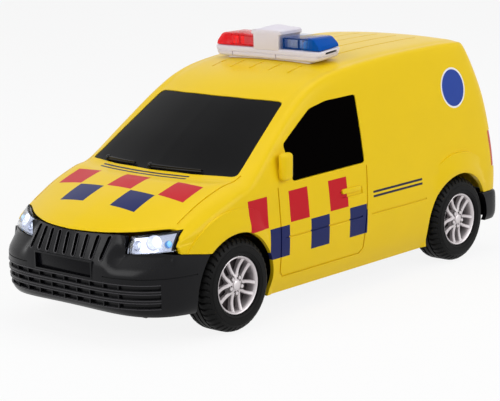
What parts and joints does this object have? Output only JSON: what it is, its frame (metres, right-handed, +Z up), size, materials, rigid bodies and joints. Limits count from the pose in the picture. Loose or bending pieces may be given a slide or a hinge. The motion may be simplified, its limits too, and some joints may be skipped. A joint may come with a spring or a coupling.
{
  "type": "remote-control toy van",
  "caption": "Yellow toy rescue van with a two-colour roof light bar, dark windows, black bumpers, spoked wheels, steering front wheels and a geared rear axle",
  "frame": {"origin": "on the ground under the middle of the vehicle", "axes": "+X is forwards, +Y is to the left of the vehicle, +Z is up"},
  "size_m": [0.254, 0.1132, 0.1228],
  "materials": {
    "yellow_plastic": "smooth moulded plastic",
    "dark_glazing": "opaque gloss black panes",
    "black_plastic": "semi-gloss moulded plastic",
    "tail_lens": "tinted lens",
    "lamp_chrome": "bright plated reflector",
    "clear_lens": "clear lens",
    "white_plastic": "smooth moulded plastic",
    "circuit_green": "laminate board",
    "blue_lens": "tinted clear lens",
    "red_lens": "tinted clear lens",
    "tyre_rubber": "soft rubber with tread blocks",
    "silver_plating": "satin silver plating",
    "grey_plastic": "fine-grained moulded plastic",
    "cell_jacket": "printed metal jacket",
    "steel": "plain steel",
    "nylon": "natural nylon"
  },
  "bodies": {
    "vehicle": {"blue_lens": "blue_lens", "body_shell": "yellow_plastic", "cell_a": "cell_jacket", "cell_b": "cell_jacket", "cell_c": "cell_jacket", "cell_d": "cell_jacket", "chassis_pan": "grey_plastic", "circuit_board": "circuit_green", "drive_motor": "steel", "front_bumper": "black_plastic", "front_contacts": "steel", "front_left_body_screw": "steel", "front_right_body_screw": "steel", "gearbox": "grey_plastic", "left_headlamp_housing": "lamp_chrome", "left_headlamp_lens": "clear_lens", "left_mirror": "yellow_plastic", "left_side_window": "dark_glazing", "left_tail_lamp": "tail_lens", "left_wiper": "black_plastic", "light_bar_board": "circuit_green", "light_bar_bridge": "white_plastic", "light_bar_tray": "white_plastic", "motor_cradle": "grey_plastic", "rear_bumper": "black_plastic", "rear_contacts": "steel", "rear_left_body_screw": "steel", "rear_right_body_screw": "steel", "rear_window": "dark_glazing", "red_lens": "red_lens", "right_headlamp_housing": "lamp_chrome", "right_headlamp_lens": "clear_lens", "right_side_window": "dark_glazing", "right_tail_lamp": "tail_lens", "right_wiper": "black_plastic", "steering_carrier": "grey_plastic", "steering_motor": "black_plastic", "step_pin": "steel", "windscreen": "dark_glazing"},
    "front_left_knuckle": {"front_left_knuckle": "grey_plastic"},
    "front_right_knuckle": {"front_right_knuckle": "grey_plastic"},
    "front_left_wheel": {"front_left_tyre": "tyre_rubber", "front_left_rim": "silver_plating"},
    "front_right_wheel": {"front_right_tyre": "tyre_rubber", "front_right_rim": "silver_plating"},
    "rear_wheelset": {"rear_axle": "steel", "drive_gear": "nylon", "rear_left_tyre": "tyre_rubber", "rear_left_rim": "silver_plating", "rear_right_tyre": "tyre_rubber", "rear_right_rim": "silver_plating"},
    "step_gear": {"step_gear": "nylon"},
    "motor_pinion": {"motor_pinion": "steel"},
    "tie_rod": {"tie_rod": "nylon"},
    "steering_pinion": {"steering_pinion": "nylon"},
    "switch_knob": {"switch_knob": "black_plastic"},
    "battery_cover": {"battery_cover": "grey_plastic"}
  },
  "joints": [
    {"name": "front_left_steer", "type": "hinge", "parent": "vehicle", "child": "front_left_knuckle", "pos_m": [0.0745, 0.04, 0.0211], "axis": [0, 0, 1], "range_deg": [-20, 20]},
    {"name": "front_right_steer", "type": "hinge", "parent": "vehicle", "child": "front_right_knuckle", "pos_m": [0.0745, -0.04, 0.0211], "axis": [0, 0, 1], "range_deg": [-20, 20]},
    {"name": "tie_rod_slide", "type": "slide", "parent": "vehicle", "child": "tie_rod", "axis": [0, 1, 0], "range_m": [-0.0043, 0.0043]},
    {"name": "steering_pinion_turn", "type": "hinge", "parent": "vehicle", "child": "steering_pinion", "pos_m": [0.0511, 0, 0.018], "axis": [0, 0, 1], "range_deg": [-50, 50]},
    {"name": "front_left_wheel_spin", "type": "hinge", "parent": "front_left_knuckle", "child": "front_left_wheel", "pos_m": [0.0745, 0.0472, 0.0211], "axis": [0, 1, 0], "continuous": true},
    {"name": "front_right_wheel_spin", "type": "hinge", "parent": "front_right_knuckle", "child": "front_right_wheel", "pos_m": [0.0745, -0.0472, 0.0211], "axis": [0, 1, 0], "continuous": true},
    {"name": "rear_axle_spin", "type": "hinge", "parent": "vehicle", "child": "rear_wheelset", "pos_m": [-0.0905, 0, 0.0211], "axis": [0, 1, 0], "continuous": true},
    {"name": "step_gear_spin", "type": "hinge", "parent": "vehicle", "child": "step_gear", "pos_m": [-0.08234, -0.007, 0.02795], "axis": [0, 1, 0], "continuous": true},
    {"name": "motor_pinion_spin", "type": "hinge", "parent": "vehicle", "child": "motor_pinion", "pos_m": [-0.07205, -0.01, 0.02519], "axis": [0, 1, 0], "continuous": true},
    {"name": "switch_slide", "type": "slide", "parent": "vehicle", "child": "switch_knob", "axis": [0, 1, 0], "range_m": [0, 0.004]},
    {"name": "battery_cover_slide", "type": "slide", "parent": "vehicle", "child": "battery_cover", "axis": [-1, 0, 0], "range_m": [0, 0.058]}
  ],
  "couplings": [
    {"joint": "front_right_steer", "follows": "front_left_steer", "ratio": 1},
    {"joint": "tie_rod_slide", "follows": "front_left_steer", "m_per_rad": -0.01175},
    {"joint": "steering_pinion_turn", "follows": "front_left_steer", "ratio": -2.4479},
    {"joint": "step_gear_spin", "follows": "rear_axle_spin", "ratio": -2.1667},
    {"joint": "motor_pinion_spin", "follows": "rear_axle_spin", "ratio": 6.0667}
  ]
}
